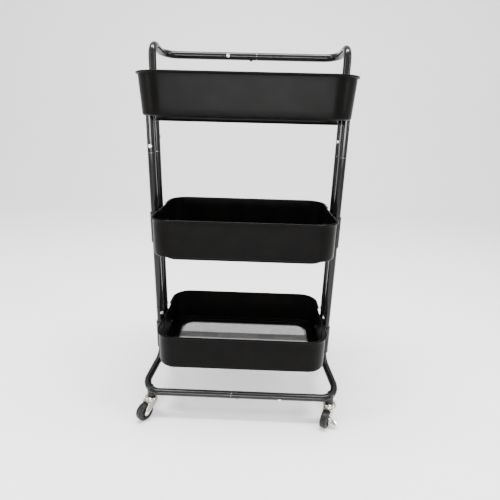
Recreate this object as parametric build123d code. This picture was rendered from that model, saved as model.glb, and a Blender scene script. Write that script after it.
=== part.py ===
"""Three-tier rolling utility cart: bent tube frame, three sheet-steel baskets with
mesh floors, four swivel casters, two of them with a brake lever.
Units are millimetres, +Z is up, the front of the cart faces -Y.
The origin is on the floor under the middle of the cart."""
import math
import os

from build123d import *

os.makedirs("parts", exist_ok=True)

# ---------------------------------------------------------------- frame
TUBE_D = 16.0            # round steel tube
TUBE_WALL = 1.2
POST_X = 196.5           # post axes, left and right
POST_Y = 21.5            # post axes, front and rear of each pair
BAR_Y = 120.0            # base bars, front and rear
BAR_Z = 65.5
CORNER_X = 221.0         # where the base bar would meet the leg
LEG_TOP_Z = 99.0         # where the leg would meet the post
BASE_BEND = 31.0
LEG_BEND = 28.0
BASE_SEAM_X = 20.0       # the halves of a base bar meet off centre
JOINT_LOW_Z = 227.0      # base stub to middle post
JOINT_TOP_Z = 580.0      # middle post to upper tube
FRONT_TOP_Z = 717.0      # closed end of the short front tubes
HANDLE_TOP_Z = 794.0     # where the rear post would meet the arm
HANDLE_Z = 784.0         # the bar
HANDLE_Y = 118.5
HANDLE_BENDS = (35.0, 27.0)
HANDLE_SEAM_X = 14.0
SLEEVE_D = TUBE_D - 2 * TUBE_WALL - 0.1
SLEEVE_WALL = 1.3
SLEEVE_LEN = 80.0
# height and facing of the screws in each post; 0 degrees faces -Y, 90 faces +X
POST_SCREWS = {
    (-1, -1): ((212.5, 42.0), (594.0, 0.0)),
    (1, -1): ((212.5, -80.0), (594.0, 180.0)),
    (-1, 1): ((212.5, 138.0), (610.0, 132.0)),
    (1, 1): ((212.5, -138.0), (610.0, -48.0)),
}

# ---------------------------------------------------------------- baskets
SHEET = 1.2
LIP_OUT = 3.5            # how far the rolled lip stands out
LIP_H = 4.0
POCKET_X = 184.5         # outer face of the wall where the posts pass
POCKET_Y = 37.0          # half width of that flat
PAN_DROP = 8.5           # the mesh tray hangs this far below the ledge
PAN_R = 30.0
PAN_MARGIN_X = 22.0
PAN_MARGIN_Y = 15.0
MESH_T = 1.0
MESH_RIM = 5.0
MESH_BAR = 1.6

# name: wall size at the bottom, wall size at the top, corner radii, bottom z, top z
BASKETS = {
    "top": (384.0, 242.0, 394.0, 252.0, 43.0, 48.0, 653.0, 727.0),
    "middle": (372.0, 229.0, 372.0, 229.0, 40.0, 40.0, 384.0, 462.0),
    "bottom": (372.0, 229.0, 372.0, 229.0, 40.0, 40.0, 126.0, 204.0),
}
CLAMP_H = {"top": 52.0, "middle": 68.0, "bottom": 68.0}
CLAMP_Z = {"top": 688.0, "middle": 421.0, "bottom": 154.5}

# ---------------------------------------------------------------- clamps and screws
CLAMP_Y = 31.0           # half width of the outer plate
CLAMP_OUT = 2.2          # plate thickness outside the tubes
PAD_Y = 36.0             # half width of the inner pad
BOLT_D = 6.0
WALL_SCREW_Y = 32.5
WALL_SCREW_D = 4.0
SCREW_D = 3.6
SCREW_HEAD = 8.0

# ---------------------------------------------------------------- casters
STEM_X = 202.0
STEM_Y = 114.0
STEM_D = 8.0
WHEEL_D = 40.0
WHEEL_W = 15.0
TRAIL = 20.0
AXLE_D = 5.0
FORK_T = 1.6
FORK_GAP = WHEEL_W + 1.2
RUN = 0.05               # radial play of everything that turns
CASTERS = {
    "front_left": (-1, -1, 235.0, False),
    "front_right": (1, -1, 240.0, True),
    "rear_right": (1, 1, 55.0, False),
    "rear_left": (-1, 1, 60.0, True),
}


def save(name, shape):
    export_step(shape, f"parts/{name}.step")


def group(solids):
    return Compound(children=list(solids))


def bent_wire(points, radius):
    """A run of straight lines joined by arcs of the given radius."""
    edges = []
    start = Vector(*points[0])
    for i in range(1, len(points) - 1):
        corner = Vector(*points[i])
        back = (Vector(*points[i - 1]) - corner).normalized()
        ahead = (Vector(*points[i + 1]) - corner).normalized()
        half = math.radians(back.get_angle(ahead)) / 2
        reach = radius[i - 1] / math.tan(half)
        middle = (back + ahead).normalized()
        centre = corner + middle * (radius[i - 1] / math.sin(half))
        first = corner + back * reach
        last = corner + ahead * reach
        crown = centre - middle * radius[i - 1]
        edges.append(Line(start, first))
        edges.append(ThreePointArc(first, crown, last))
        start = last
    edges.append(Line(start, Vector(*points[-1])))
    return Wire(edges=[e.edges()[0] for e in edges])


def rod(points, radius, diameter):
    wire = bent_wire(points, radius)
    face = Plane(origin=wire @ 0, z_dir=wire % 0) * Circle(diameter / 2)
    return sweep(face, path=wire).solids()[0]


def tube(points, radius):
    return rod(points, radius, TUBE_D) - rod(points, radius, TUBE_D - 2 * TUBE_WALL)


def rounded(width, depth, corner, z):
    return Pos(0, 0, z) * RectangleRounded(width, depth, corner)


def drum(bottom, top):
    return loft([rounded(*bottom), rounded(*top)]).solids()[0]


def plate(width, depth, corner, z0, z1):
    return extrude(rounded(width, depth, corner, z0), z1 - z0).solids()[0]


def along(origin, direction, diameter, length):
    return extrude(Plane(origin=origin, z_dir=direction) * Circle(diameter / 2), length).solids()[0]


# ================================================================ frame tubes
def base_points(sx, sy, seam):
    return [(seam, sy * BAR_Y, BAR_Z), (sx * CORNER_X, sy * BAR_Y, BAR_Z),
            (sx * POST_X, sy * POST_Y, LEG_TOP_Z), (sx * POST_X, sy * POST_Y, JOINT_LOW_Z)]


def handle_points(sx):
    return [(HANDLE_SEAM_X, HANDLE_Y, HANDLE_Z), (sx * POST_X, HANDLE_Y, HANDLE_Z),
            (sx * POST_X, POST_Y, HANDLE_TOP_Z), (sx * POST_X, POST_Y, JOINT_TOP_Z)]


# every screw that pins a joint: head centre on the tube surface, outward direction
SCREWS = []
for (sx, sy), rows in POST_SCREWS.items():
    for z, facing in rows:
        turn = math.radians(facing)
        SCREWS.append(((sx * POST_X, sy * POST_Y, z), (math.sin(turn), -math.cos(turn), 0)))
for sy in (-1, 1):
    SCREWS.append(((-sy * 88.0, sy * BAR_Y, BAR_Z), (0, sy * 0.8, -0.6)))
    SCREWS.append(((sy * 6.0, sy * BAR_Y, BAR_Z), (0, 0, -1.0)))
SCREWS.append(((-50.0, HANDLE_Y, HANDLE_Z), (0, -1.0, 0)))
SCREWS.append(((1.0, HANDLE_Y, HANDLE_Z), (0, 0, -1.0)))


def screw_holes(part):
    """Clear every pinning screw out of a tube it may pass through."""
    box = part.bounding_box()
    for at, out in SCREWS:
        if not (box.min.X - 1 < at[0] < box.max.X + 1 and box.min.Y - 1 < at[1] < box.max.Y + 1
                and box.min.Z - 1 < at[2] < box.max.Z + 1):
            continue
        part = part - along(at, out, SCREW_D + 0.2, TUBE_D)
    return part


base_outlines = {}
for sx, side in ((-1, "left"), (1, "right")):
    for sy, end in ((-1, "front"), (1, "rear")):
        points = base_points(sx, sy, sy * BASE_SEAM_X)
        base_outlines[(sx, sy)] = rod(points, (BASE_BEND, LEG_BEND), TUBE_D)
        save(f"base_tube_{end}_{side}", screw_holes(tube(points, (BASE_BEND, LEG_BEND))))
        post = tube([(sx * POST_X, sy * POST_Y, JOINT_LOW_Z), (sx * POST_X, sy * POST_Y, JOINT_TOP_Z)], ())
        save(f"post_{end}_{side}", screw_holes(post))
    save(f"handle_{side}", screw_holes(tube(handle_points(sx), HANDLE_BENDS)))
    front = [(sx * POST_X, -POST_Y, JOINT_TOP_Z), (sx * POST_X, -POST_Y, FRONT_TOP_Z)]
    save(f"front_tube_{side}", screw_holes(tube(front, ())))

sleeves = []
for sx in (-1, 1):
    for sy in (-1, 1):
        for z in (JOINT_LOW_Z, JOINT_TOP_Z):
            low = (sx * POST_X, sy * POST_Y, z - SLEEVE_LEN / 2)
            sleeves.append(along(low, (0, 0, 1), SLEEVE_D, SLEEVE_LEN)
                           - along(low, (0, 0, 1), SLEEVE_D - 2 * SLEEVE_WALL, SLEEVE_LEN))
save("post_sleeves", group(screw_holes(s) for s in sleeves))

bars = []
for x0, x1, y, z in ((-54, 34, -BAR_Y, BAR_Z), (-34, 54, BAR_Y, BAR_Z), (-62, 40, HANDLE_Y, HANDLE_Z)):
    bars.append(along((x0, y, z), (1, 0, 0), SLEEVE_D, x1 - x0)
                - along((x0, y, z), (1, 0, 0), SLEEVE_D - 2 * SLEEVE_WALL, x1 - x0))
save("bar_sleeves", group(screw_holes(s) for s in bars))


def pan_screw(at, out):
    """Low domed head on the tube surface, shank through the tube wall."""
    a = Vector(*at)
    d = Vector(*out)
    head = along(a + d * (TUBE_D / 2), out, SCREW_HEAD, 1.9)
    head = fillet(head.faces().sort_by(Axis((0, 0, 0), out))[-1].edges(), 1.2)
    return head + along(a + d * (SLEEVE_D / 2 - 3.5), out, SCREW_D, 3.5 + TUBE_D / 2 - SLEEVE_D / 2)


save("joint_screws", group(pan_screw(at, out) for at, out in SCREWS))

caps = []
for sx in (-1, 1):
    dome = along((sx * POST_X, -POST_Y, FRONT_TOP_Z), (0, 0, 1), TUBE_D, 3.0)
    dome = fillet(dome.faces().sort_by(Axis.Z)[-1].edges(), 2.0)
    caps.append(dome + along((sx * POST_X, -POST_Y, FRONT_TOP_Z - 12), (0, 0, 1), SLEEVE_D, 12))
save("tube_caps", group(caps))

# ================================================================ baskets
def posts_flat(limit_x, half_y, z0, z1):
    """Two blocks that cover everything outside the flats where the posts pass."""
    blocks = []
    for sx in (-1, 1):
        blocks.append(Pos(sx * (limit_x + 25), 0, (z0 + z1) / 2) * Box(50, 2 * half_y, z1 - z0 + 2))
    return blocks


def wall_body(name, inset, z0, z1, flats=True):
    w0, d0, w1, d1, r0, r1, zb, zt = BASKETS[name]
    slope = (w1 - w0) / (zt - zb)

    def section(z):
        grow = (z - zb) * slope
        corner = r0 + (r1 - r0) * (z - zb) / (zt - zb)
        return (w0 + grow - 2 * inset, d0 + grow - 2 * inset, corner - inset, z)

    body = drum(section(z0), section(z1))
    if flats:
        for block in posts_flat(POCKET_X - inset, POCKET_Y + inset, z0, z1):
            body = body - block
    return body


def wall_screw_spots(name):
    z = CLAMP_Z[name]
    return [(sx, sy * WALL_SCREW_Y, z) for sx in (-1, 1) for sy in (-1, 1)]


for name, (w0, d0, w1, d1, r0, r1, zb, zt) in BASKETS.items():
    shell = wall_body(name, 0, zb, zt) - wall_body(name, SHEET, zb + SHEET, zt)
    # the tray: a step down inside the ledge, open in the middle for the mesh
    tray_w = w0 - 2 * PAN_MARGIN_X
    tray_d = d0 - 2 * PAN_MARGIN_Y
    shell = shell - plate(tray_w - 2 * SHEET, tray_d - 2 * SHEET, PAN_R - SHEET, zb - 1, zb + SHEET + 1)
    step = plate(tray_w, tray_d, PAN_R, zb - PAN_DROP, zb)
    step = step - plate(tray_w - 2 * SHEET, tray_d - 2 * SHEET, PAN_R - SHEET, zb - PAN_DROP - 1, zb + 1)
    shell = shell + step
    # the lip: a rolled edge standing out from the top of the wall
    grow = 2 * LIP_OUT
    ring = plate(w1 + grow, d1 + grow, r1 + LIP_OUT, zt - LIP_H, zt)
    ring = fillet(ring.edges().filter_by(Plane.XY).sort_by(Axis.Z)[-8:], 1.4)
    ring = ring - plate(w1 - 2 * SHEET, d1 - 2 * SHEET, r1 - SHEET, zt - LIP_H - 1, zt + 1)
    ring = ring - plate(w1 - 0.01, d1 - 0.01, r1, zt - LIP_H - 1, zt - SHEET)
    for block in posts_flat(POCKET_X, POCKET_Y, zt - LIP_H, zt):
        ring = ring - block
    shell = shell + ring
    for sx, y, z in wall_screw_spots(name):
        shell = shell - along((sx * (POCKET_X - 4), y, z), (sx, 0, 0), WALL_SCREW_D + 0.2, 6)
    save(f"basket_{name}", shell)

    # flat mesh floor sheet lying against the underside of the tray step
    zm = zb - PAN_DROP
    sheet = plate(tray_w - 2 * SHEET - 0.2, tray_d - 2 * SHEET - 0.2, PAN_R - SHEET, zm, zm + MESH_T)
    cols = 12
    rows = 8
    step_x = (tray_w - 2 * SHEET - 2 * MESH_RIM) / cols
    step_y = (tray_d - 2 * SHEET - 2 * MESH_RIM) / rows
    windows = []
    for i in range(cols):
        for j in range(rows):
            x = (i - (cols - 1) / 2) * step_x
            y = (j - (rows - 1) / 2) * step_y
            if i in (0, cols - 1) and j in (0, rows - 1):
                continue
            windows.append(Pos(x, y, zm + MESH_T / 2) * Box(step_x - MESH_BAR, step_y - MESH_BAR, 3))
    save(f"mesh_{name}", sheet - windows)

# ================================================================ clamps
pads = []
bolts = []
wall_screws = []
for name in BASKETS:
    z = CLAMP_Z[name]
    h = CLAMP_H[name]
    for sx, side in ((-1, "left"), (1, "right")):
        tubes = [along((sx * POST_X, sy * POST_Y, z - 60), (0, 0, 1), TUBE_D, 120) for sy in (-1, 1)]
        x0 = POST_X + 0.5
        x1 = POST_X + TUBE_D / 2 + CLAMP_OUT
        outer = Pos(sx * (x0 + x1) / 2, 0, z) * Box(x1 - x0, 2 * CLAMP_Y, h)
        outer = fillet(outer.edges().filter_by(Axis.X), 5.0)
        bore = along((sx * (POCKET_X + 1), 0, z), (sx, 0, 0), BOLT_D + 0.2, 40)
        save(f"clamp_{name}_{side}", outer - tubes - bore)
        pad = Pos(sx * (POCKET_X + POST_X - 0.5) / 2, 0, z) * Box(POST_X - 0.5 - POCKET_X, 2 * PAD_Y, h)
        pad = pad - tubes - bore
        for sy in (-1, 1):
            pad = pad - along((sx * (POCKET_X - 1), sy * WALL_SCREW_Y, z), (sx, 0, 0), WALL_SCREW_D + 0.2, 9.5)
            head = along((sx * (POCKET_X - SHEET), sy * WALL_SCREW_Y, z), (-sx, 0, 0), 9.0, 2.4)
            head = fillet(head.faces().sort_by(Axis.X)[0 if sx > 0 else -1].edges(), 1.5)
            shank = along((sx * (POCKET_X - SHEET), sy * WALL_SCREW_Y, z), (sx, 0, 0), WALL_SCREW_D, 9)
            wall_screws.append(head + shank)
        pads.append(pad)
        head = along((sx * x1, 0, z), (sx, 0, 0), 11.0, 3.2)
        head = fillet(head.faces().sort_by(Axis.X)[-1 if sx > 0 else 0].edges(), 2.0)
        shank = along((sx * (POCKET_X + 1.4), 0, z), (sx, 0, 0), BOLT_D, x1 - POCKET_X - 1.4)
        bolts.append(head + shank)
save("clamp_pads", group(pads))
save("clamp_bolts", group(bolts))
save("wall_screws", group(wall_screws))

# ================================================================ casters
WHEEL_Z = WHEEL_D / 2
DECK_Z = 43.0            # underside of the fork deck
DECK_T = 2.0
CUP_D = 29.0
CUP_TOP = 51.0


def fork():
    """Swivel cup and two legs; the wheel trails along local +X."""
    cup = along((0, 0, DECK_Z), (0, 0, 1), CUP_D, CUP_TOP - DECK_Z)
    cup = fillet(cup.faces().sort_by(Axis.Z)[-1].edges(), 3.0)
    cup = cup - along((0, 0, DECK_Z - 1), (0, 0, 1), CUP_D - 4, CUP_TOP - DECK_Z - 1.5 + 1)
    cup = cup + along((0, 0, DECK_Z), (0, 0, 1), 14.0, CUP_TOP - DECK_Z)
    width = FORK_GAP + 2 * FORK_T
    deck = Pos(2.0, 0, DECK_Z - DECK_T / 2) * Box(27.0, width, DECK_T)
    body = cup + deck
    for sy in (-1, 1):
        y = sy * (FORK_GAP + FORK_T) / 2
        side = Polyline((-11.5, DECK_Z), (15.5, DECK_Z), (15.5, DECK_Z - 6), (TRAIL + 6.8, WHEEL_Z + 2),
                        (TRAIL + 5.0, WHEEL_Z - 5), (TRAIL - 1.0, WHEEL_Z - 7), (TRAIL - 6.4, WHEEL_Z - 2.5),
                        (-11.5, DECK_Z - 7), close=True)
        leg = extrude(Plane.XZ * make_face(side.edges()), FORK_T / 2, both=True)
        body = body + Pos(0, y, 0) * leg
    body = body - along((0, 0, DECK_Z - 5), (0, 0, 1), STEM_D + 2 * RUN, 20)
    body = body - along((TRAIL, -20, WHEEL_Z), (0, 1, 0), AXLE_D + 0.02, 40)
    return body.solids()[0]


def wheel_parts():
    centre = (TRAIL, -WHEEL_W / 2, WHEEL_Z)
    tyre = along(centre, (0, 1, 0), WHEEL_D, WHEEL_W)
    tyre = fillet(tyre.edges().filter_by(GeomType.CIRCLE), 3.0)
    tyre = tyre - along(centre, (0, 1, 0), 26.0, WHEEL_W)
    hub = along((TRAIL, -WHEEL_W / 2 + 1, WHEEL_Z), (0, 1, 0), 26.0, WHEEL_W - 2)
    for y in (-WHEEL_W / 2, WHEEL_W / 2 - 3):
        hub = hub - (along((TRAIL, y, WHEEL_Z), (0, 1, 0), 22.0, 3) - along((TRAIL, y, WHEEL_Z), (0, 1, 0), 11.0, 3))
    hub = hub - along((TRAIL, -20, WHEEL_Z), (0, 1, 0), AXLE_D + 2 * RUN, 40)
    return tyre, hub


def axle(long_side):
    """Riveted pin with a head at each end; the longer one also carries the lever."""
    reach = FORK_GAP / 2 + FORK_T
    extra = 2.0 if long_side else 0.0
    pin = along((TRAIL, -reach, WHEEL_Z), (0, 1, 0), AXLE_D, 2 * reach + extra)
    pin = pin + along((TRAIL, -reach, WHEEL_Z), (0, -1, 0), 8.4, 1.6)
    return pin + along((TRAIL, reach + extra, WHEEL_Z), (0, 1, 0), 8.4, 1.6)


def lever():
    """Pressed lever on the outer fork leg, turning on the axle, with a foot tab."""
    y0 = FORK_GAP / 2 + FORK_T + 0.15
    arm = along((TRAIL, y0, WHEEL_Z), (0, 1, 0), 13.0, 1.6)
    arm = arm + Pos(TRAIL - 5.0, y0 + 0.8, WHEEL_Z - 2.0) * Box(14.0, 1.6, 9.0)
    tab = Pos(TRAIL - 5.0, y0 + 0.8, WHEEL_Z - 5.7) * Rot(-16, 0, 0) * Pos(0, 7.6, 0) * Box(14.0, 15.2, 1.6)
    body = arm + tab
    body = body - along((TRAIL, -40, WHEEL_Z), (0, 1, 0), AXLE_D + 2 * RUN, 80)
    return body.solids()[0]


for name, (sx, sy, heading, braked) in CASTERS.items():
    here = Pos(sx * STEM_X, sy * STEM_Y, 0)
    turned = here * Rot(0, 0, heading)
    collar = along((0, 0, CUP_TOP + 0.3), (0, 0, 1), 15.0, 24.0)
    collar = (here * collar) - base_outlines[(sx, sy)]
    collar = collar.solids().sort_by(Axis.Z)[0]
    pin = along((0, 0, DECK_Z - DECK_T - 2.2), (0, 0, 1), STEM_D, CUP_TOP + 0.3 - DECK_Z + DECK_T + 2.2)
    pin = pin + along((0, 0, DECK_Z - DECK_T - 2.2), (0, 0, 1), 12.0, 2.0)
    save(f"caster_stem_{name}", collar + here * pin)
    save(f"caster_fork_{name}", turned * fork())
    tyre, hub = wheel_parts()
    save(f"wheel_tyre_{name}", turned * tyre)
    save(f"wheel_hub_{name}", turned * hub)
    save(f"wheel_axle_{name}", turned * axle(braked))
    if braked:
        save(f"brake_lever_{name}", turned * lever())
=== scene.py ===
import math

import bmesh
import bpy
import numpy as np
from mathutils import Matrix, Vector


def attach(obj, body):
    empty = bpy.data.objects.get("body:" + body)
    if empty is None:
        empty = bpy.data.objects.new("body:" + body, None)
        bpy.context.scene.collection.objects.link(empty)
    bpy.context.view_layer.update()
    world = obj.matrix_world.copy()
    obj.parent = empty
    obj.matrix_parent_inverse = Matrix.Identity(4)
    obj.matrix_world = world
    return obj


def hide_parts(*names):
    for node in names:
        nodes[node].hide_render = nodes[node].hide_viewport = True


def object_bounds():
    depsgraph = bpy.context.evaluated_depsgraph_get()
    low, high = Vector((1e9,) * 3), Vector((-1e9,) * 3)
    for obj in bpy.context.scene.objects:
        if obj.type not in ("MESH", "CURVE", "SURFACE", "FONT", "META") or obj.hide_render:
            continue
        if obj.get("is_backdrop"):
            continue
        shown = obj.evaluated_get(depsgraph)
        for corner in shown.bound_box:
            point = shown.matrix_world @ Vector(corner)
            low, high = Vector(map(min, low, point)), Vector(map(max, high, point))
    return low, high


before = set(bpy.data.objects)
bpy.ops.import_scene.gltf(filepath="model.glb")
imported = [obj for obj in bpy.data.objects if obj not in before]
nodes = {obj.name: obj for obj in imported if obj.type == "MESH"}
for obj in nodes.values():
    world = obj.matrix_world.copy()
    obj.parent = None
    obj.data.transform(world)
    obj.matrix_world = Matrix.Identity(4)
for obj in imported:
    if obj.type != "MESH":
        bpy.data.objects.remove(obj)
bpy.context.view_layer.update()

# ------------------------------------------------------------------ frame tubes
# Round steel tube, 16 mm, cold bent and powder coated. Each base tube is half
# a bar, a corner and a leg; the middle posts stand on the legs; the rear pair
# goes on above the top basket and turns back into the two halves of the handle.
TUBE_R = 0.008
TUBE_WALL = 0.0012
POST_X = 0.1965
POST_Y = 0.0215
BAR_Y = 0.120
BAR_Z = 0.0655
CORNER_X = 0.221
LEG_TOP = 0.099
SEAM_LOW = 0.227
SEAM_TOP = 0.580
FRONT_TOP = 0.717
ARM_Z = 0.794
HANDLE_Y = 0.1185
HANDLE_Z = 0.784
HANDLE_SEAM = 0.014
BASE_SEAM = 0.020
GAP = 0.0002


class Wire:
    """One output socket; arithmetic on it adds Math nodes to the same tree."""

    def __init__(self, tree, socket):
        self.tree = tree
        self.socket = socket

    def math(self, operation, *values):
        return add(self.tree, "ShaderNodeMath", {"operation": operation}, dict(enumerate(values)))

    def __add__(self, other):
        return self.math("ADD", self, other)

    def __sub__(self, other):
        return self.math("SUBTRACT", self, other)

    def __rsub__(self, other):
        return self.math("SUBTRACT", other, self)

    def __mul__(self, other):
        return self.math("MULTIPLY", self, other)

    def __pow__(self, other):
        return self.math("POWER", self, other)

    __radd__ = __add__
    __rmul__ = __mul__


def add(tree, kind, settings=None, sockets=None, out=0):
    """Any node: its type, its settings first, then the values or links of its sockets."""
    node = tree.nodes.new(kind)
    for key, value in (settings or {}).items():
        if key == "stops":
            for element, (at, colour) in zip(node.color_ramp.elements, value):
                element.position = at
                element.color = colour
        else:
            setattr(node, key, value)
    for key, value in (sockets or {}).items():
        if isinstance(value, Wire):
            tree.links.new(value.socket, node.inputs[key])
        elif value is not None:
            node.inputs[key].default_value = value
    return Wire(tree, node.outputs[out]) if node.outputs else None


def new_finish(name):
    """An empty material, its tree and Object coordinates."""
    material = bpy.data.materials.new(name)
    material.use_nodes = True
    tree = material.node_tree
    tree.nodes.clear()
    coords = add(tree, "ShaderNodeTexCoord", out="Object")
    return material, tree, coords


def noise(tree, coords, scale, detail=2.0, rough=0.5):
    return add(tree, "ShaderNodeTexNoise", None,
               {"Vector": coords, "Scale": scale, "Detail": detail, "Roughness": rough})


def spread(wire, low, high, to_low, to_high):
    """Straight map of low..high onto to_low..to_high, clamped."""
    return add(wire.tree, "ShaderNodeMapRange", {"clamp": True},
               {"Value": wire, "From Min": low, "From Max": high, "To Min": to_low, "To Max": to_high})


def blend_colours(tree, factor, first, second):
    """First colour where factor is 0, second where it is 1."""
    return add(tree, "ShaderNodeMix", {"data_type": "RGBA"}, {0: factor, 6: first, 7: second}, out=2)


def close_finish(material, tree, colour, roughness, metallic=0.0, bump=None, distance=0.0001, coat=0.0,
                 strength=0.5, specular=0.5):
    """Principled shader with the given wires; the constants sit on its own sockets."""
    sockets = {"Base Color": colour, "Roughness": roughness, "Metallic": metallic,
               "Coat Weight": coat, "Coat Roughness": 0.12, "Specular IOR Level": specular}
    if bump is not None:
        sockets["Normal"] = add(tree, "ShaderNodeBump", None,
                                {"Height": bump, "Strength": strength, "Distance": distance})
    shader = add(tree, "ShaderNodeBsdfPrincipled", None, sockets)
    add(tree, "ShaderNodeOutputMaterial", None, {"Surface": shader})
    return material


def powder_coat(name, deep, pale, rough_low, rough_high, peel, coat=0.0, specular=0.5):
    """Black powder coat: orange-peel ripple, patchy gloss, faint dust on faces that look up."""
    material, tree, coords = new_finish(name)
    patches = noise(tree, coords, 38.0, 4.0, 0.6)
    fine = noise(tree, coords, 700.0, 2.0, 0.55)
    grit = noise(tree, coords, 2600.0, 1.0, 0.5)
    facing = add(tree, "ShaderNodeNewGeometry", out="Normal")
    up = add(tree, "ShaderNodeSeparateXYZ", None, {0: facing}, out="Z")
    dust = spread(up, 0.55, 1.0, 0.0, 1.0) * spread(noise(tree, coords, 60.0, 6.0, 0.6), 0.45, 0.75, 0.0, 1.0)
    colour = blend_colours(tree, spread(patches, 0.35, 0.65, 0.0, 1.0), deep, pale)
    colour = blend_colours(tree, dust * 0.012, colour, (0.16, 0.155, 0.15, 1.0))
    roughness = spread(patches, 0.3, 0.7, rough_low, rough_high) + dust * 0.04 + (fine - 0.5) * 0.04
    height = fine * 0.7 + grit * 0.3
    return close_finish(material, tree, colour, roughness, bump=height, distance=peel, coat=coat,
                        strength=0.25, specular=specular)


tube_black = powder_coat("tube_black_gloss", (0.0030, 0.0031, 0.0035, 1), (0.0045, 0.0046, 0.0051, 1),
                         0.13, 0.18, 0.00001, specular=0.22)


def bent_path(points, radii, step=0.09):
    """Centre line of a bent tube: each corner is cut by an arc tangent to both runs,
    centre = corner + bisector * r / sin(half angle); runs get a point every 30 mm."""
    corners = [np.array(p, float) for p in points]
    line = [corners[0]]
    for corner, before, after, r in zip(corners[1:-1], corners[:-2], corners[2:], radii):
        back = (before - corner) / np.linalg.norm(before - corner)
        ahead = (after - corner) / np.linalg.norm(after - corner)
        half = np.arccos(back @ ahead) / 2
        middle = (back + ahead) / np.linalg.norm(back + ahead)
        centre = corner + middle * r / np.sin(half)
        first = corner + back * r / np.tan(half)
        last = corner + ahead * r / np.tan(half)
        turn = np.pi - 2 * half
        t = np.linspace(0, 1, max(4, int(turn / step)))[:, None]
        arc = centre + (np.sin((1 - t) * turn) * (first - centre) + np.sin(t * turn) * (last - centre)) / np.sin(turn)
        line.extend(list(arc))
    line.append(corners[-1])
    out = [line[0]]
    for a, b in zip(line[:-1], line[1:]):
        pieces = max(1, int(np.linalg.norm(b - a) / 0.030))
        out.extend([a + (b - a) * k / pieces for k in range(1, pieces + 1)])
    return np.array(out)


def frames_along(line):
    """Unit tangent, normal and binormal at each point; the normal is carried along by
    taking out its part along each new tangent, so it never twists."""
    step = np.diff(line, axis=0)
    step /= np.linalg.norm(step, axis=1)[:, None]
    tangent = np.vstack([step[:1], step[:-1] + step[1:], step[-1:]])
    tangent /= np.linalg.norm(tangent, axis=1)[:, None]
    normal = np.cross(tangent[0], (0.31, 0.52, 0.80))
    normals = []
    for t in tangent:
        normal = normal - t * (normal @ t)
        normal = normal / np.linalg.norm(normal)
        normals.append(normal)
    normals = np.array(normals)
    return tangent, normals, np.cross(tangent, normals)


def skin(points, wrap_u=True, wrap_v=True, pole_first=False, pole_last=False):
    """Quads over a grid of points [u, v]; an end row that is a pole becomes one vertex."""
    rows, cols = points.shape[:2]
    index = np.arange(rows * cols).reshape(rows, cols)
    verts = points.reshape(-1, 3)
    if pole_first:
        index[0, :] = index[0, 0]
    if pole_last:
        index[-1, :] = index[-1, 0]
    a = index
    if wrap_u:
        a = np.vstack([a, a[:1]])
    if wrap_v:
        a = np.hstack([a, a[:, :1]])
    quads = np.stack([a[:-1, :-1], a[1:, :-1], a[1:, 1:], a[:-1, 1:]], axis=-1).reshape(-1, 4)
    faces = []
    for q in quads.tolist():
        ring = [q[k] for k in range(4) if q[k] != q[k - 1]]
        if len(ring) > 2:
            faces.append(ring)
    return verts, faces


def outward(verts, faces):
    """Turns every face round when the signed volume, the sum of a . (b x c) / 6 over fan
    triangles, comes out negative."""
    volume = 0.0
    for size in (3, 4):
        some = np.array([f for f in faces if len(f) == size], int)
        if len(some):
            a = verts[some[:, 0]]
            for k in range(1, size - 1):
                volume += np.einsum("ij,ij->i", a, np.cross(verts[some[:, k]], verts[some[:, k + 1]])).sum()
    return faces if volume > 0 else [f[::-1] for f in faces]


def join(*shells):
    """Several closed shells, each a pair of vertices and faces, as one."""
    verts = []
    faces = []
    start = 0
    for v, f in shells:
        verts.append(v)
        faces.extend([[i + start for i in ring] for ring in outward(v, f)])
        start += len(v)
    return np.vstack(verts), faces


def make(name, shell, finish, body, stands_for, sharp=40.0, bevel=0.0):
    """Puts a shell into the scene as one piece, smooth except over sharp edges."""
    verts, faces = shell
    mesh = bpy.data.meshes.new(name)
    mesh.from_pydata(verts.tolist(), [], faces)
    work = bmesh.new()
    work.from_mesh(mesh)
    loose = [v for v in work.verts if not v.link_faces]
    bmesh.ops.delete(work, geom=loose, context="VERTS")
    work.to_mesh(mesh)
    work.free()
    mesh.polygons.foreach_set("use_smooth", np.ones(len(mesh.polygons), bool))
    mesh.set_sharp_from_angle(angle=math.radians(sharp))
    mesh.materials.append(finish)
    piece = bpy.data.objects.new(name, mesh)
    bpy.context.scene.collection.objects.link(piece)
    if bevel:
        cut = piece.modifiers.new("edge", "BEVEL")
        cut.width = bevel
        cut.segments = 2
        cut.limit_method = "ANGLE"
        cut.angle_limit = math.radians(35)
    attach(piece, body)
    if stands_for:
        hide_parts(*stands_for)
    return piece


def tube_shell(points, radii, seg=40):
    """Hollow tube: a section loop of outer wall, rounded end, inner wall, rounded end,
    carried round the axis; at each loop point p = line(s) + r * (n cos a + b sin a)."""
    line = bent_path(points, radii)
    tangent, normal, binormal = frames_along(line)
    inner = TUBE_R - TUBE_WALL
    lip = 0.0004
    order = list(range(len(line)))
    at = [0] + order + [len(line) - 1] + order[::-1]
    push = np.zeros(len(at))
    radius = np.full(len(at), TUBE_R)
    radius[len(line) + 1:] = inner
    radius[0] = TUBE_R - lip
    radius[len(line) + 1] = TUBE_R - lip
    push[1] = lip
    push[len(line)] = -lip
    centre = line[at] + tangent[at] * push[:, None]
    angle = np.linspace(0, 2 * np.pi, seg, endpoint=False)
    ring = (normal[at][:, None, :] * np.cos(angle)[None, :, None]
            + binormal[at][:, None, :] * np.sin(angle)[None, :, None])
    return skin(centre[:, None, :] + ring * radius[:, None, None])


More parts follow.
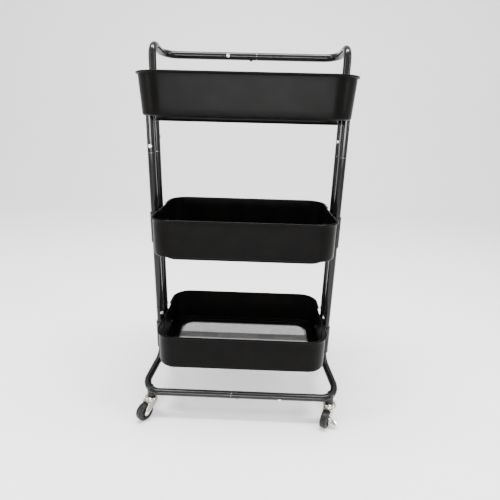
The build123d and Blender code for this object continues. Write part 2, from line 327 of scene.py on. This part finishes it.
SIDES = ((-1, "left"), (1, "right"))
ENDS = ((-1, "front"), (1, "rear"))
for sx, side in SIDES:
    for sy, end in ENDS:
        base = [(sy * BASE_SEAM + sx * GAP, sy * BAR_Y, BAR_Z), (sx * CORNER_X, sy * BAR_Y, BAR_Z),
                (sx * POST_X, sy * POST_Y, LEG_TOP), (sx * POST_X, sy * POST_Y, SEAM_LOW - GAP)]
        make(f"tube_base_{end}_{side}", tube_shell(base, (0.031, 0.028)), tube_black, "frame",
             [f"base_tube_{end}_{side}"])
        post = [(sx * POST_X, sy * POST_Y, SEAM_LOW + GAP), (sx * POST_X, sy * POST_Y, SEAM_TOP - GAP)]
        make(f"tube_post_{end}_{side}", tube_shell(post, ()), tube_black, "frame",
             [f"post_{end}_{side}"])
    arm = [(HANDLE_SEAM + sx * GAP, HANDLE_Y, HANDLE_Z), (sx * POST_X, HANDLE_Y, HANDLE_Z),
           (sx * POST_X, POST_Y, ARM_Z), (sx * POST_X, POST_Y, SEAM_TOP + GAP)]
    make(f"tube_handle_{side}", tube_shell(arm, (0.035, 0.027)), tube_black, "frame",
         [f"handle_{side}"])
    stub = [(sx * POST_X, -POST_Y, SEAM_TOP + GAP), (sx * POST_X, -POST_Y, FRONT_TOP)]
    make(f"tube_front_{side}", tube_shell(stub, ()), tube_black, "frame",
         [f"front_tube_{side}"])

# ------------------------------------------------------------------ baskets
# Pressed sheet-steel bins, 1.2 mm, powder coated: a rolled lip, solid walls with
# rounded corners, a ledge round the floor and a shallow hanging tray that holds
# the mesh. The short walls have a flat pocket where the posts pass.
SHEET = 0.0012
POCKET_X = 0.1845
POCKET_Y = 0.037
PAN_DROP = 0.0085
PAN_R = 0.030
PAN_IN_X = 0.022
PAN_IN_Y = 0.015
# wall half sizes at the bottom, at the top, corner radii, bottom z, top z
BASKETS = {
    "top": (0.192, 0.121, 0.197, 0.126, 0.043, 0.048, 0.653, 0.727),
    "middle": (0.186, 0.1145, 0.186, 0.1145, 0.040, 0.040, 0.384, 0.462),
    "bottom": (0.186, 0.1145, 0.186, 0.1145, 0.040, 0.040, 0.126, 0.204),
}
sheet_black = powder_coat("sheet_black_satin", (0.0013, 0.0011, 0.0010, 1), (0.0020, 0.0018, 0.0016, 1),
                          0.30, 0.36, 0.00004, specular=0.045)


def outline(half_x, half_y, r):
    """Rounded rectangle as points, outward normals and a mask that is 0 in the two pockets.
    In a pocket |x| eases to POCKET_X by 3t^2 - 2t^3 over 6 mm of y."""
    end = half_y - r
    y = np.concatenate([[-end], np.linspace(-0.047, -0.034, 9), np.linspace(-0.026, 0.026, 5),
                        np.linspace(0.034, 0.047, 9), [end]])
    t = np.clip((np.abs(y) - POCKET_Y) / 0.006, 0, 1)
    ease = 3 * t ** 2 - 2 * t ** 3
    side = np.stack([half_x - max(0.0, half_x - POCKET_X) * (1 - ease), y], axis=1)
    side_out = np.tile([1.0, 0.0], (len(y), 1))
    angle = np.linspace(0, np.pi / 2, 15)[1:-1]
    curl = np.stack([np.cos(angle), np.sin(angle)], axis=1)
    corner = np.array([half_x - r, half_y - r]) + r * curl
    x = np.linspace(half_x - r, -(half_x - r), 24)
    back = np.stack([x, np.full(len(x), half_y)], axis=1)
    back_out = np.tile([0.0, 1.0], (len(x), 1))
    turned = corner[::-1] * [-1, 1]
    points = np.vstack([side, corner, back, turned])
    normals = np.vstack([side_out, curl, back_out, curl[::-1] * [-1, 1]])
    mask = np.concatenate([ease, np.ones(len(points) - len(y))])
    return np.vstack([points, -points]), np.vstack([normals, -normals]), np.tile(mask, 2)


def basket_shell(half_x0, half_y0, half_x1, half_y1, r0, r1, low, top):
    """One closed loop of rows round the bin: out along the floor bend, up the wall, over the
    bead of the lip, down inside, along the ledge, down and up the tray step and back."""

    def wall(z, push, lip=0.0):
        t = (z - low) / (top - low)
        points, normals, mask = outline(half_x0 + (half_x1 - half_x0) * t, half_y0 + (half_y1 - half_y0) * t,
                                        r0 + (r1 - r0) * t)
        flat = points + normals * (push + lip * mask[:, None])
        return np.column_stack([flat, np.full(len(flat), z)])

    def tray(z, push):
        points, normals, mask = outline(half_x0 - PAN_IN_X, half_y0 - PAN_IN_Y, PAN_R)
        flat = points + normals * push
        return np.column_stack([flat, np.full(len(flat), z)])

    rows = []
    bend = 0.004
    for a in np.linspace(0, np.pi / 2, 6):
        rows.append(wall(low + bend * (1 - np.cos(a)), -bend * (1 - np.sin(a))))
    for z in np.linspace(low + bend, top - 0.0052, 7)[1:]:
        rows.append(wall(z, 0.0))
    rows.append(wall(top - 0.0046, 0.0, 0.0001))
    for a in np.linspace(-np.pi / 2 - 0.5, np.pi / 2, 11):
        rows.append(wall(top - 0.0020 + 0.0020 * np.sin(a), 0.0, 0.0015 + 0.0020 * np.cos(a)))
    for a in np.linspace(np.pi / 2, np.pi, 6):
        rows.append(wall(top - 0.0014 + 0.0014 * np.sin(a), 0.0002 + 0.0014 * np.cos(a)))
    inside = 0.003
    for z in np.linspace(top - 0.004, low + SHEET + inside, 7):
        rows.append(wall(z, -SHEET))
    for a in np.linspace(0, np.pi / 2, 6)[1:]:
        rows.append(wall(low + SHEET + inside * (1 - np.sin(a)), -SHEET - inside * (1 - np.cos(a))))
    ledge = rows[-1]
    edge = tray(low + SHEET, 0.002)
    rows.append(ledge * 0.5 + edge * 0.5)
    for a in np.linspace(np.pi / 2, np.pi, 7):
        rows.append(tray(low + SHEET - 0.0032 * (1 - np.sin(a)), 0.002 + 0.0032 * np.cos(a)))
    foot = low - PAN_DROP
    rows.append(tray(foot + 0.0012, -SHEET))
    for a in np.linspace(np.pi, 2.35 * np.pi, 12):
        rows.append(tray(foot + 0.0012 + 0.0012 * np.sin(a), 0.0012 * np.cos(a)))
    rows.append(tray(foot + 0.0030, 0.0))
    for a in np.linspace(np.pi, np.pi / 2, 6):
        rows.append(tray(low - 0.0020 * (1 - np.sin(a)), 0.0020 + 0.0020 * np.cos(a)))
    rows.append(tray(low, 0.002) * 0.5 + rows[0] * 0.5)
    return skin(np.array(rows))


for name, sizes in BASKETS.items():
    make(f"bin_{name}", basket_shell(*sizes), sheet_black, "frame", [f"basket_{name}"],
         sharp=50.0)

# ------------------------------------------------------------------ mesh floors
# Expanded steel mesh lying in each tray: rows of zigzag strands that touch their
# neighbours at every peak, inside a narrow flat rim. Powder coated black like the bin; the
# strands' mid grey is painted light that stands in for the pale floor showing through the mesh.
STRAND = 0.00105
STRAND_T = 0.00045
LONG_WAY = 0.0060
SHORT_WAY = 0.0040
# mid grey strands: painted light standing in for the pale floor seen through the black mesh
mesh_painted_light_grey = powder_coat("mesh_satin", (0.075, 0.075, 0.073, 1), (0.120, 0.119, 0.115, 1),
                        0.34, 0.46, 0.00005)


def mesh_shell(half_x, half_y, r, z):
    """Strand k is y = k h + (h / 2) (-1)^k tri(x), x every half pitch; its band is clipped
    to the rounded rim. The rim is a flat ring between two rounded rectangles."""
    h = SHORT_WAY / 2
    shells = []
    rows = int((half_y - 0.003) / h)
    for k in range(-rows, rows + 1):
        y0 = k * h
        over = max(0.0, abs(y0) - (half_y - r))
        reach = half_x - r + math.sqrt(max(0.0, r * r - over * over)) - 0.0015
        count = int(reach / (LONG_WAY / 2))
        x = np.arange(-count, count + 1) * LONG_WAY / 2
        peak = (-1.0) ** (np.arange(-count, count + 1) + k)
        y = y0 + peak * (h / 2 - STRAND * 0.25)
        x = np.concatenate([[-reach], x, [reach]])
        y = np.concatenate([[y0], y, [y0]])
        half = STRAND * 0.62
        grid = np.stack([
            np.stack([x, y - half, np.full(len(x), z)], axis=1),
            np.stack([x, y + half, np.full(len(x), z)], axis=1),
            np.stack([x, y + half, np.full(len(x), z + STRAND_T)], axis=1),
            np.stack([x, y - half, np.full(len(x), z + STRAND_T)], axis=1)], axis=1)
        verts, faces = skin(grid, wrap_u=False)
        last = len(verts) - 4
        faces = faces + [[0, 1, 2, 3], [last + 3, last + 2, last + 1, last]]
        shells.append((verts, faces))
    ring = []
    for push, up in ((0.0, 0.0), (0.0, 0.0009), (-0.0035, 0.0009), (-0.0035, 0.0)):
        points, normals, mask = outline(half_x, half_y, r)
        ring.append(np.column_stack([points + normals * push, np.full(len(points), z + up)]))
    shells.append(skin(np.array(ring)))
    return join(*shells)


for name, (half_x, half_y, _, _, _, _, low, _) in BASKETS.items():
    shell = mesh_shell(half_x - PAN_IN_X - SHEET - 0.0001, half_y - PAN_IN_Y - SHEET - 0.0001,
                       PAN_R - SHEET, low - PAN_DROP)
    make(f"floor_mesh_{name}", shell, mesh_painted_light_grey, "frame", [f"mesh_{name}"], sharp=30.0)

# ------------------------------------------------------------------ screws and bolts
# Pan-head cross-recess screws pin the tube joints, low bolts hold the clamps to
# the post pairs, and flatter black heads hold each basket from the inside.


def bright_metal(name, pale, dull, rough_low, rough_high):
    """Zinc or chrome plate: cloudy tone, fine rubbing lines, darker in patches."""
    material, tree, coords = new_finish(name)
    cloud = noise(tree, coords, 160.0, 5.0, 0.6)
    speck = noise(tree, coords, 1500.0, 2.0, 0.6)
    long = add(tree, "ShaderNodeMapping", None, {"Vector": coords, "Scale": (300.0, 300.0, 2600.0)})
    rub = noise(tree, long, 1.0, 3.0, 0.6)
    tone = spread(cloud, 0.35, 0.7, 0.0, 1.0)
    colour = blend_colours(tree, tone, pale, dull)
    roughness = spread(cloud, 0.3, 0.7, rough_low, rough_high) + (rub - 0.5) * 0.10
    height = rub * 0.6 + speck * 0.4
    return close_finish(material, tree, colour, roughness, metallic=1.0, bump=height, distance=0.00004)


zinc_screw = bright_metal("zinc_screw", (0.80, 0.80, 0.79, 1), (0.60, 0.59, 0.57, 1), 0.20, 0.34)
screw_black = powder_coat("screw_black", (0.0030, 0.0030, 0.0032, 1), (0.0060, 0.0060, 0.0063, 1),
                          0.22, 0.34, 0.00004, specular=0.25)


def screw_shell(at, out, radius, height, shank, depth, spin=0.4):
    """Dome h(r) = height * sqrt(1 - 0.8 (r / R)^2.4) less a cross recess, a soft bar test on
    the two turned axes; a short shank closes it below."""
    out = np.array(out, float) / np.linalg.norm(out)
    across = np.cross(out, (0.21, 0.34, 0.92))
    across /= np.linalg.norm(across)
    other = np.cross(out, across)
    r = radius * np.array([0.02, 0.07, 0.12, 0.18, 0.24, 0.31, 0.38, 0.45, 0.52, 0.6, 0.7, 0.8,
                           0.88, 0.94, 0.98, 1.0])
    angle = np.linspace(0, 2 * np.pi, 56, endpoint=False)
    rr, aa = np.meshgrid(r, angle, indexing="ij")
    h = height * (0.28 + 0.72 * np.sqrt(np.clip(1 - (rr / radius) ** 2.6, 0, 1)))
    x = rr * np.cos(aa)
    y = rr * np.sin(aa)
    u = x * math.cos(spin) + y * math.sin(spin)
    v = y * math.cos(spin) - x * math.sin(spin)
    bar = radius * 0.13
    span = radius * 0.56
    near = np.minimum(np.abs(u), np.abs(v))
    far = np.maximum(np.abs(u), np.abs(v))
    cross = np.clip((bar - near) / (bar * 0.6) + 0.5, 0, 1) * np.clip((span - far) / (span * 0.2), 0, 1)
    h = h - depth * cross
    under = np.array([[1.0, 0.0], [0.45, 0.0], [0.45, -shank], [0.02, -shank]])
    tail_r = radius * under[:, 0][:, None] * np.ones_like(angle)
    tail_h = under[:, 1][:, None] * np.ones_like(angle)
    radial = np.vstack([rr, tail_r])
    height_all = np.vstack([h, tail_h])
    turn = np.vstack([aa, np.tile(angle, (4, 1))])
    grid = (np.array(at, float) + radial[..., None] * (np.cos(turn)[..., None] * across
            + np.sin(turn)[..., None] * other) + height_all[..., None] * out)
    return skin(grid, wrap_u=False, pole_first=True, pole_last=True)


# height and facing of the screws in each post; 0 degrees faces -Y, 90 faces +X
POST_SCREWS = {(-1, -1): ((0.2125, 42.0), (0.594, 0.0)), (1, -1): ((0.2125, -80.0), (0.594, 180.0)),
               (-1, 1): ((0.2125, 138.0), (0.610, 132.0)), (1, 1): ((0.2125, -138.0), (0.610, -48.0))}
tube_screws = []
tube_nubs = []
for (sx, sy), rows in POST_SCREWS.items():
    for z, facing in rows:
        turn = math.radians(facing)
        tube_screws.append(((sx * POST_X, sy * POST_Y, z), (math.sin(turn), -math.cos(turn), 0)))
for sy in (-1, 1):
    tube_screws.append(((-sy * 0.088, sy * BAR_Y, BAR_Z), (0, sy * 0.8, -0.6)))
    tube_nubs.append(((sy * 0.006, sy * BAR_Y, BAR_Z), (0, 0, -1.0)))
tube_screws.append(((-0.050, HANDLE_Y, HANDLE_Z), (0, -1.0, 0)))
tube_nubs.append(((0.001, HANDLE_Y, HANDLE_Z), (0, 0, -1.0)))
heads = []
for i, (at, out) in enumerate(tube_screws):
    seat = np.array(at) + np.array(out) * (TUBE_R - 0.0004)
    heads.append(screw_shell(seat, out, 0.0040, 0.0024, 0.004, 0.0011, 0.4 + 0.7 * i))
make("screws_tube_joints", join(*heads), zinc_screw, "frame", ["joint_screws"], sharp=60.0)
heads = []
for at, out in tube_nubs:
    seat = np.array(at) + np.array(out) * (TUBE_R - 0.0004)
    heads.append(screw_shell(seat, out, 0.0036, 0.0024, 0.004, 0.0009))
make("screws_under_bars", join(*heads), screw_black, "frame", [], sharp=60.0)

CLAMPS = {"top": (0.688, 0.052), "middle": (0.421, 0.068), "bottom": (0.1545, 0.068)}
heads = []
for name, (z, h) in CLAMPS.items():
    for sx in (-1, 1):
        for sy in (-1, 1):
            seat = (sx * (POCKET_X - SHEET + 0.0002), sy * 0.0325, z)
            heads.append(screw_shell(seat, (-sx, 0, 0), 0.0045, 0.0026, 0.003, 0.0010, 0.3 + sx + sy))
make("screws_basket_walls", join(*heads), screw_black, "frame", ["wall_screws"], sharp=60.0)
heads = []
for name, (z, h) in CLAMPS.items():
    for sx in (-1, 1):
        seat = (sx * (POST_X + TUBE_R + 0.0021), 0.0, z)
        heads.append(screw_shell(seat, (sx, 0, 0), 0.0055, 0.0034, 0.006, 0.0014, 0.9 * sx + z * 7))
make("bolts_clamps", join(*heads), screw_black, "frame", ["clamp_bolts"], sharp=60.0)

# ------------------------------------------------------------------ post clamps
# Moulded black plates that wrap both tubes of a post pair from the outside; one
# bolt draws each plate against the pad on the basket wall.


def moulded(name, deep, pale, rough_low, rough_high, grain, depth):
    """Moulded rubber or plastic: fine grain, a little grey scuffing."""
    material, tree, coords = new_finish(name)
    broad = noise(tree, coords, 90.0, 4.0, 0.6)
    fine = noise(tree, coords, grain, 3.0, 0.6)
    colour = blend_colours(tree, spread(broad, 0.4, 0.7, 0.0, 1.0), deep, pale)
    roughness = spread(broad, 0.3, 0.7, rough_low, rough_high) + (fine - 0.5) * 0.08
    return close_finish(material, tree, colour, roughness, bump=fine, distance=depth, specular=0.22)


plastic_black = moulded("plastic_black", (0.0024, 0.0024, 0.0026, 1), (0.0052, 0.0052, 0.0055, 1),
                        0.30, 0.45, 1200.0, 0.00006)


def prism(loop, low, high, axis_map):
    """A flat loop of (a, b) carried from low to high along the third axis and capped."""
    count = len(loop)
    ends = []
    for level in (low, high):
        ends.append(axis_map(loop[:, 0], loop[:, 1], np.full(count, level)))
    verts, faces = skin(np.array(ends), wrap_u=False)
    return verts, faces + [list(range(count)), list(range(2 * count - 1, count - 1, -1))]


def clamp_loop():
    """Outer line: circles of tube radius + 2.2 mm round each tube joined by a flat that dips
    1.2 mm; inner line: the tubes' own circles joined by a flat 0.5 mm outside their axes."""
    outer_r = TUBE_R + 0.0022
    inner_r = TUBE_R + 0.00004
    a = np.linspace(math.asin(0.05), np.pi / 2, 12)
    right = np.stack([outer_r * np.sin(a), POST_Y + outer_r * np.cos(a)], axis=1)
    y = np.linspace(POST_Y - 0.003, -(POST_Y - 0.003), 11)
    dip = 0.0012 * np.cos(np.clip(y / (POST_Y - 0.003), -1, 1) * np.pi / 2) ** 2
    flat = np.stack([outer_r - dip, y], axis=1)
    outer = np.vstack([right, flat, right[::-1] * [1, -1]])
    b = np.linspace(math.asin(0.0005 / inner_r), np.pi - math.asin(0.0005 / inner_r), 16)
    first = np.stack([inner_r * np.sin(b), -POST_Y - inner_r * np.cos(b)], axis=1)
    second = first + [0, 2 * POST_Y]
    return np.vstack([outer, first, second])


for name, (z, h) in CLAMPS.items():
    for sx, side in SIDES:
        shell = prism(clamp_loop(), z - h / 2, z + h / 2,
                      lambda x, y, s, sx=sx: np.stack([sx * (POST_X + x), y, s], axis=1))
        make(f"clamp_plate_{name}_{side}", shell, plastic_black, "frame", [f"clamp_{name}_{side}"],
             sharp=35.0, bevel=0.0006)

# ------------------------------------------------------------------ casters
# Four small swivel casters on stems in the base tubes: zinc-plated cup and fork,
# riveted axle, hard rubber tyre on a black hub. Two carry a pressed brake lever.
STEM_X = 0.202
STEM_Y = 0.114
TRAIL = 0.020
WHEEL_R = 0.020
HALF_W = 0.0075
LEG_IN = 0.0081
LEG_T = 0.0016
DECK_Z = 0.043
CUP_TOP = 0.051
CASTERS = {"front_left": (-1, -1, 235.0, False), "front_right": (1, -1, 240.0, True),
           "rear_right": (1, 1, 55.0, False), "rear_left": (-1, 1, 60.0, True)}
zinc_bright = bright_metal("zinc_bright", (0.50, 0.47, 0.42, 1), (0.30, 0.275, 0.235, 1), 0.12, 0.22)
rubber_black = moulded("rubber_black", (0.0030, 0.0030, 0.0030, 1), (0.0080, 0.0080, 0.0082, 1),
                       0.30, 0.46, 1800.0, 0.0001)


def spun(profile, origin, axis, seg=56):
    """Surface of revolution: the loop of (radius, height) turned round an axis, closed at
    both ends where the radius is zero."""
    axis = np.array(axis, float)
    across = np.cross(axis, (0.3, 0.2, 0.93))
    across /= np.linalg.norm(across)
    other = np.cross(axis, across)
    profile = np.array(profile, float)
    angle = np.linspace(0, 2 * np.pi, seg, endpoint=False)
    turn = np.cos(angle)[:, None] * across + np.sin(angle)[:, None] * other
    grid = np.array(origin) + profile[:, 0][:, None, None] * turn + (profile[:, 1][:, None] * axis)[:, None, :]
    closed = profile[0, 0] > 0.0 and profile[-1, 0] > 0.0
    return skin(grid, wrap_u=closed, pole_first=not closed, pole_last=not closed)


def round_corners(points, radii, steps=6):
    """Closed outline with each corner cut by a curve b(t) = (1-t)^2 p + 2t(1-t) c + t^2 q."""
    out = []
    count = len(points)
    points = np.array(points, float)
    t = np.linspace(0, 1, steps)[:, None]
    for i in range(count):
        c = points[i]
        p = c + (points[i - 1] - c) / np.linalg.norm(points[i - 1] - c) * radii[i]
        q = c + (points[(i + 1) % count] - c) / np.linalg.norm(points[(i + 1) % count] - c) * radii[i]
        out.append((1 - t) ** 2 * p + 2 * t * (1 - t) * c + t ** 2 * q)
    return np.vstack(out)


def fork_shell():
    """Ringed cup turned about the stem, a rounded deck and two tapering legs."""
    r = 0.0145
    cup = [(0.0042, DECK_Z - 0.0004), (r - 0.0010, DECK_Z - 0.0004), (r, DECK_Z + 0.0004), (r, DECK_Z + 0.0016),
           (r - 0.0005, DECK_Z + 0.0022), (r - 0.0013, DECK_Z + 0.0024), (r - 0.0015, DECK_Z + 0.0030),
           (r - 0.0011, DECK_Z + 0.0034), (r - 0.0006, DECK_Z + 0.0040), (r - 0.0008, DECK_Z + 0.0052),
           (r - 0.0020, DECK_Z + 0.0066), (r - 0.0040, DECK_Z + 0.0076), (r - 0.0062, CUP_TOP), (0.0042, CUP_TOP)]
    parts = [spun(cup, (0, 0, 0), (0, 0, 1))]
    wide = LEG_IN + LEG_T
    deck = round_corners([(-0.0115, -wide), (0.0155, -wide), (0.0155, wide), (-0.0115, wide)], [0.003] * 4)
    parts.append(prism(deck, DECK_Z - 0.0020, DECK_Z - 0.0002, lambda a, b, s: np.stack([a, b, s], axis=1)))
    side = round_corners([(-0.0115, DECK_Z), (0.0155, DECK_Z), (0.0165, DECK_Z - 0.006), (0.0268, 0.0220),
                          (0.0256, 0.0140), (0.0185, 0.0122), (0.0130, 0.0172), (-0.0105, DECK_Z - 0.008)],
                         [0.002, 0.002, 0.003, 0.0035, 0.0038, 0.0030, 0.004, 0.004])
    for sy in (-1, 1):
        near = sy * LEG_IN
        far = sy * (LEG_IN + LEG_T)
        parts.append(prism(side, near, far, lambda a, b, s: np.stack([a, s, b], axis=1)))
    return join(*parts)


def tyre_shell():
    """Crowned tread r(y) = R - 0.0006 (y / w)^2 with round shoulders and a flush bore."""
    y = np.linspace(-HALF_W + 0.0026, HALF_W - 0.0026, 9)
    tread = [(WHEEL_R - 0.0003 * (k / HALF_W) ** 2, k) for k in y]
    a = np.linspace(0, np.pi / 2, 7)[1:]
    edge = [(WHEEL_R - 0.0028 + 0.0025 * math.cos(t), HALF_W - 0.0026 + 0.0026 * math.sin(t)) for t in a]
    side = [(0.0160, HALF_W), (0.0156, HALF_W - 0.0004), (0.0150, HALF_W - 0.0002), (0.0132, HALF_W)]
    right = tread + edge + side
    left = [(r, -k) for r, k in (edge + side)][::-1]
    return spun(left + right, (TRAIL, 0, WHEEL_R), (0, 1, 0), 72)


def hub_shell():
    """Dished hub: rim, recess and boss on both faces, open along the axle."""
    face = [(0.0130, 0.0064), (0.0118, 0.0066), (0.0110, 0.0060), (0.0106, 0.0036), (0.0060, 0.0034),
            (0.0055, 0.0062), (0.0050, 0.0066), (0.0026, 0.0066)]
    other = [(r, -k) for r, k in face][::-1]
    return spun(other + face, (TRAIL, 0, WHEEL_R), (0, 1, 0))


def axle_shell(long_side):
    """Pin with a domed rivet head at each end."""
    reach = LEG_IN + LEG_T
    far = reach + (0.0020 if long_side else 0.0)
    a = np.linspace(0, np.pi / 2, 6)
    head = [(0.0042 * math.cos(t), 0.0017 * math.sin(t)) for t in a]
    right = [(0.0025, far)] + [(max(r, 0.0), far + h) for r, h in head]
    left = [(max(r, 0.0), -reach - h) for r, h in head][::-1] + [(0.0025, -reach)]
    profile = np.array(left + right)
    profile[0, 0] = 0.0
    profile[-1, 0] = 0.0
    return spun(profile, (TRAIL, 0, WHEEL_R), (0, 1, 0), 40)


def lever_shell():
    """Pressed strip 1.4 mm thick: down the leg, round a 4 mm bend, out as a foot tab that
    narrows to a blunt point; it is dished by 1 - (2u)^2 across."""
    start = LEG_IN + LEG_T + 0.0002
    mid = start + 0.0007
    spine = np.array([(mid, 0.0264), (mid, 0.0255), (mid, 0.0235), (mid, 0.0200), (mid, 0.0170),
                      (mid + 0.0004, 0.0152), (mid + 0.0016, 0.0137), (mid + 0.0034, 0.0128),
                      (mid + 0.0060, 0.0120), (mid + 0.0090, 0.0111), (mid + 0.0120, 0.0101),
                      (mid + 0.0142, 0.0093), (mid + 0.0150, 0.0090)])
    half = np.array([0.0018, 0.0040, 0.0060, 0.0066, 0.0068, 0.0070, 0.0070, 0.0068, 0.0064, 0.0056, 0.0042,
                     0.0024, 0.0010])
    shift = np.array([0.0, 0.0, -0.0002, -0.0014, -0.0030, -0.0042, -0.0048, -0.0050, -0.0050, -0.0050, -0.0050,
                      -0.0050, -0.0050])
    step = np.gradient(spine, axis=0)
    step /= np.linalg.norm(step, axis=1)[:, None]
    normal = np.stack([-step[:, 1], step[:, 0]], axis=1)
    u = np.linspace(-1, 1, 13)
    dish = np.clip((np.arange(len(spine)) - 5) / 3, 0, 1) * 0.0012
    layers = []
    for offset in (0.0007, -0.0007):
        lift = offset + dish[:, None] * (u[None, :] ** 2)
        y = spine[:, 0][:, None] + normal[:, 0][:, None] * lift
        z = spine[:, 1][:, None] + normal[:, 1][:, None] * lift
        x = TRAIL + shift[:, None] + half[:, None] * u[None, :]
        layers.append(np.stack([x, y, z], axis=-1))
    loop = np.concatenate([layers[0], layers[1][:, ::-1]], axis=1)
    verts, faces = skin(loop, wrap_u=False)
    wide = loop.shape[1]
    last = len(verts) - wide
    return verts, faces + [list(range(wide)), list(range(last + wide - 1, last - 1, -1))]


def at_caster(shell, sx, sy, heading):
    """Turns a shell by the heading about +Z and sets it under its stem."""
    verts, faces = shell
    c = math.cos(math.radians(heading))
    s = math.sin(math.radians(heading))
    turn = np.array([[c, -s, 0], [s, c, 0], [0, 0, 1]])
    return verts @ turn.T + [sx * STEM_X, sy * STEM_Y, 0], faces


for name, (sx, sy, heading, braked) in CASTERS.items():
    place = (sx, sy, heading)
    make(f"fork_{name}", at_caster(fork_shell(), *place), zinc_bright, f"swivel_{name}",
         [f"caster_fork_{name}"], sharp=40.0, bevel=0.00035)
    make(f"axle_{name}", at_caster(axle_shell(braked), *place), zinc_screw, f"swivel_{name}",
         [f"wheel_axle_{name}"], sharp=40.0)
    make(f"tyre_{name}", at_caster(tyre_shell(), *place), rubber_black, f"wheel_{name}",
         [f"wheel_tyre_{name}"], sharp=50.0)
    make(f"hub_{name}", at_caster(hub_shell(), *place), plastic_black, f"wheel_{name}",
         [f"wheel_hub_{name}"], sharp=50.0)
    if braked:
        make(f"lever_{name}", at_caster(lever_shell(), *place), zinc_bright, f"brake_{name}",
             [f"brake_lever_{name}"], sharp=50.0, bevel=0.0002)

# ------------------------------------------------------------------ carried-over pieces
# Inner sleeves, pads, caster collars and the caps of the front tubes keep their
# made shape and only take a finish.
for name, finish in (("post_sleeves", zinc_bright), ("bar_sleeves", zinc_bright), ("clamp_pads", plastic_black),
                     ("tube_caps", plastic_black), ("caster_stem_front_left", screw_black),
                     ("caster_stem_front_right", screw_black), ("caster_stem_rear_left", screw_black),
                     ("caster_stem_rear_right", screw_black)):
    nodes[name].data.materials.clear()
    nodes[name].data.materials.append(finish)

# ------------------------------------------------------------------ floor, light, camera
# Plain pale sweep of board under and behind the cart, soft boxes and a camera.


def sweep_board():
    """Floor that curls up into a back wall: z = 0, then a quarter circle of radius r."""
    r = 1.2
    turn = np.linspace(0, np.pi / 2, 24)
    y = np.concatenate([[-4.0, 1.9], 1.9 + r * np.sin(turn), [1.9 + r]])
    z = np.concatenate([[0.0, 0.0], r * (1 - np.cos(turn)), [5.0]])
    x = np.array([-6.0, 6.0])
    grid = np.stack(np.broadcast_arrays(x[None, :], y[:, None], z[:, None]), axis=-1)
    verts, faces = skin(grid, wrap_u=False, wrap_v=False)
    mesh = bpy.data.meshes.new("studio_floor")
    mesh.from_pydata(verts.tolist(), [], [f[::-1] for f in faces])
    mesh.polygons.foreach_set("use_smooth", np.ones(len(mesh.polygons), bool))
    material, tree, coords = new_finish("studio_board")
    colour = blend_colours(tree, noise(tree, coords, 3.0, 2.0), (0.88, 0.88, 0.88, 1), (0.91, 0.91, 0.91, 1))
    close_finish(material, tree, colour, 0.9)
    mesh.materials.append(material)
    board = bpy.data.objects.new("studio_floor", mesh)
    bpy.context.scene.collection.objects.link(board)
    board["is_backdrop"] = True
    return board


board = sweep_board()


def soft_box(name, at, aim, size, power):
    """Rectangular area light at a point, turned to face another."""
    lamp = bpy.data.lights.new(name, "AREA")
    lamp.shape = "RECTANGLE"
    lamp.size, lamp.size_y = size
    lamp.energy = power
    thing = bpy.data.objects.new(name, lamp)
    thing.location = at
    away = np.array(at, float) - np.array(aim, float)
    thing.rotation_mode = "QUATERNION"
    thing.rotation_quaternion = Vector(away).to_track_quat("Z", "Y")
    bpy.context.scene.collection.objects.link(thing)
    return thing


soft_box("light_top", (0.0, -0.1, 2.3), (0.0, 0.0, 0.4), (1.6, 0.35), 110)
soft_box("light_front", (0.0, -2.3, 0.56), (0.0, 0.0, 0.62), (1.6, 0.22), 60)
soft_box("light_left", (-1.9, -0.9, 1.2), (0.0, 0.0, 0.4), (0.20, 1.6), 24)
soft_box("light_right", (1.9, -0.7, 1.3), (0.0, 0.0, 0.4), (0.20, 1.6), 28)
world = bpy.data.worlds.new("studio_air")
bpy.context.scene.world = world
world.use_nodes = True
world.node_tree.nodes["Background"].inputs["Color"].default_value = (1.0, 1.0, 1.0, 1)
world.node_tree.nodes["Background"].inputs["Strength"].default_value = 1.5

camera_data = bpy.data.cameras.new("camera")
camera = bpy.data.objects.new("camera", camera_data)
bpy.context.scene.collection.objects.link(camera)
bpy.context.scene.camera = camera
camera_data.sensor_width = 36.0
camera_data.lens = 27.134
camera_data.shift_x = 0.0025
camera_data.shift_y = -0.0192
camera_data.clip_start = 0.01
camera_data.clip_end = 50.0


def camera_frame(yaw, pitch, roll):
    """Right, up and back vectors: forward = (sin yaw cos pitch, cos yaw cos pitch, -sin pitch),
    then right and up turned about it by the roll."""
    forward = np.array([math.sin(yaw) * math.cos(pitch), math.cos(yaw) * math.cos(pitch), -math.sin(pitch)])
    level = np.array([math.cos(yaw), -math.sin(yaw), 0.0])
    above = np.cross(level, forward)
    right = math.cos(roll) * level + math.sin(roll) * above
    up = -math.sin(roll) * level + math.cos(roll) * above
    return right, up, -forward


axes = camera_frame(-0.0202, 0.3145, 0.0255)
turn = Matrix([[float(axes[c][r]) for c in range(3)] for r in range(3)])
camera.rotation_mode = "QUATERNION"
camera.location = (0.02489, -0.81242, 0.65354)
camera.rotation_quaternion = turn.to_quaternion()

low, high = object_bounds()
